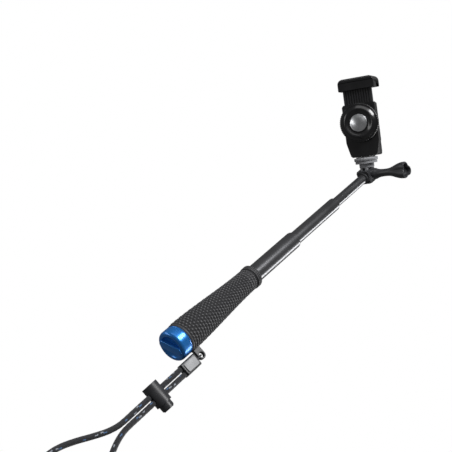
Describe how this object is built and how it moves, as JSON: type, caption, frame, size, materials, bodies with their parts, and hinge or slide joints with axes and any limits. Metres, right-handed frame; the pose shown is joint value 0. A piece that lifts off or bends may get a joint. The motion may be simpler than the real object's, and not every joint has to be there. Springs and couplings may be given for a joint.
{
  "type": "selfie stick",
  "caption": "Telescoping twist-lock pole with a ribbed rubber grip, a tilting knuckle, a rack-driven phone clamp and a wrist lanyard.",
  "frame": {"origin": "on the pole's axis, in the middle of the grip", "axes": "+Z along the pole from the end cap to the knuckle; +X along the knuckle bolt towards the thumb knob; the clamp leans towards -Y"},
  "size_m": [0.0787, 0.1506, 0.5941],
  "materials": {
    "grip_rubber": "knobbly moulded rubber",
    "black_plastic": "fine moulded grain",
    "anodised_tube": "satin dark anodised",
    "bush_plastic": "smooth",
    "brass": "turned",
    "cap_blue": "bright blue anodised",
    "seal_rubber": "smooth",
    "collet_plastic": "natural nylon",
    "steel": "bright",
    "adapter_grey": "light grey satin",
    "clamp_black": "glossy black",
    "jaw_pad": "light grey soft pad",
    "button_silver": "satin silver",
    "cord_weave": "braided dark cord with pale flecks",
    "crimp_grey": "light grey satin"
  },
  "bodies": {
    "handle": {"grip_core": "black_plastic", "grip_sleeve": "grip_rubber", "grip_front_rim": "grip_rubber", "outer_tube": "anodised_tube", "outer_bush": "bush_plastic", "cap_insert": "brass", "lanyard_eyelet": "black_plastic", "anchor_loop": "cord_weave", "crimp_block": "black_plastic", "crimp_plate": "crimp_grey", "lanyard_cord": "cord_weave"},
    "end_cap": {"end_cap": "cap_blue", "cap_gasket": "seal_rubber"},
    "mid_lock": {"mid_collet": "collet_plastic"},
    "mid_section": {"mid_cam": "black_plastic", "mid_tube": "anodised_tube", "mid_bush": "bush_plastic"},
    "inner_lock": {"inner_collet": "collet_plastic"},
    "inner_section": {"inner_cam": "black_plastic", "inner_tube": "anodised_tube", "pole_head": "black_plastic", "head_pin": "steel", "captive_nut": "steel"},
    "thumb_screw": {"thumb_knob": "black_plastic", "thumb_bolt": "steel", "thumb_washer": "steel"},
    "adapter": {"adapter_fork": "adapter_grey", "tripod_stud": "steel"},
    "lock_ring": {"lock_ring": "adapter_grey", "ring_face": "seal_rubber"},
    "clamp": {"clamp_back": "clamp_black", "clamp_front": "clamp_black", "phone_pad": "seal_rubber", "lower_jaw": "clamp_black", "lower_jaw_pad": "jaw_pad", "thread_insert": "brass", "clamp_screws": "steel"},
    "jaw": {"jaw_arm": "clamp_black", "upper_jaw": "clamp_black", "upper_jaw_pad": "jaw_pad", "jaw_rack": "brass"},
    "knob": {"knob_dish": "clamp_black", "knob_rim": "clamp_black", "pinion": "brass", "knob_screw": "steel", "button_spring": "steel"},
    "release_button": {"release_button": "button_silver"},
    "cord_lock": {"lock_barrel": "black_plastic", "lock_spring": "steel"},
    "lock_plunger": {"lock_plunger": "black_plastic"}
  },
  "joints": [
    {"name": "cap_turn", "type": "hinge", "parent": "handle", "child": "end_cap", "pos_m": [0, 0, -0.06], "axis": [0, 0, -1], "range_deg": [0, 90]},
    {"name": "mid_slide", "type": "slide", "parent": "handle", "child": "mid_lock", "axis": [0, 0, 1], "range_m": [-0.077, 0.064]},
    {"name": "mid_twist", "type": "hinge", "parent": "mid_lock", "child": "mid_section", "pos_m": [0, 0, 0.04], "axis": [0, 0, 1], "range_deg": [0, 120]},
    {"name": "inner_slide", "type": "slide", "parent": "mid_section", "child": "inner_lock", "axis": [0, 0, 1], "range_m": [-0.06, 0.054]},
    {"name": "inner_twist", "type": "hinge", "parent": "inner_lock", "child": "inner_section", "pos_m": [0, 0, 0.13], "axis": [0, 0, 1], "range_deg": [0, 120]},
    {"name": "thumb_screw_turn", "type": "hinge", "parent": "inner_section", "child": "thumb_screw", "pos_m": [0.03, 0, 0.289], "axis": [1, 0, 0], "continuous": true},
    {"name": "knuckle_tilt", "type": "hinge", "parent": "inner_section", "child": "adapter", "pos_m": [0, 0, 0.289], "axis": [1, 0, 0], "range_deg": [-160, 19]},
    {"name": "lock_ring_turn", "type": "hinge", "parent": "adapter", "child": "lock_ring", "pos_m": [0, -0.017, 0.29492], "axis": [0, -0.9444, 0.3289], "continuous": true},
    {"name": "clamp_swivel", "type": "hinge", "parent": "adapter", "child": "clamp", "pos_m": [0, -0.02361, 0.29722], "axis": [0, -0.9444, 0.3289], "continuous": true},
    {"name": "jaw_slide", "type": "slide", "parent": "clamp", "child": "jaw", "axis": [0, -0.9444, 0.3289], "range_m": [-0.0145, 0.0155]},
    {"name": "knob_turn", "type": "hinge", "parent": "clamp", "child": "knob", "pos_m": [0, -0.05666, 0.30873], "axis": [0.342, -0.309, -0.8874], "range_deg": [-139, 148.5]},
    {"name": "button_press", "type": "slide", "parent": "knob", "child": "release_button", "axis": [-0.342, 0.309, 0.8874], "range_m": [0, 0.0015], "stiffness_N_per_m": 800},
    {"name": "cord_lock_slide", "type": "slide", "parent": "handle", "child": "cord_lock", "axis": [0, 0, 1], "range_m": [-0.028, 0.022]},
    {"name": "plunger_press", "type": "slide", "parent": "cord_lock", "child": "lock_plunger", "axis": [-0.5, -0.866, 0], "range_m": [0, 0.002], "stiffness_N_per_m": 800}
  ],
  "couplings": [
    {"joint": "knob_turn", "follows": "jaw_slide", "rad_per_m": 166.67}
  ]
}
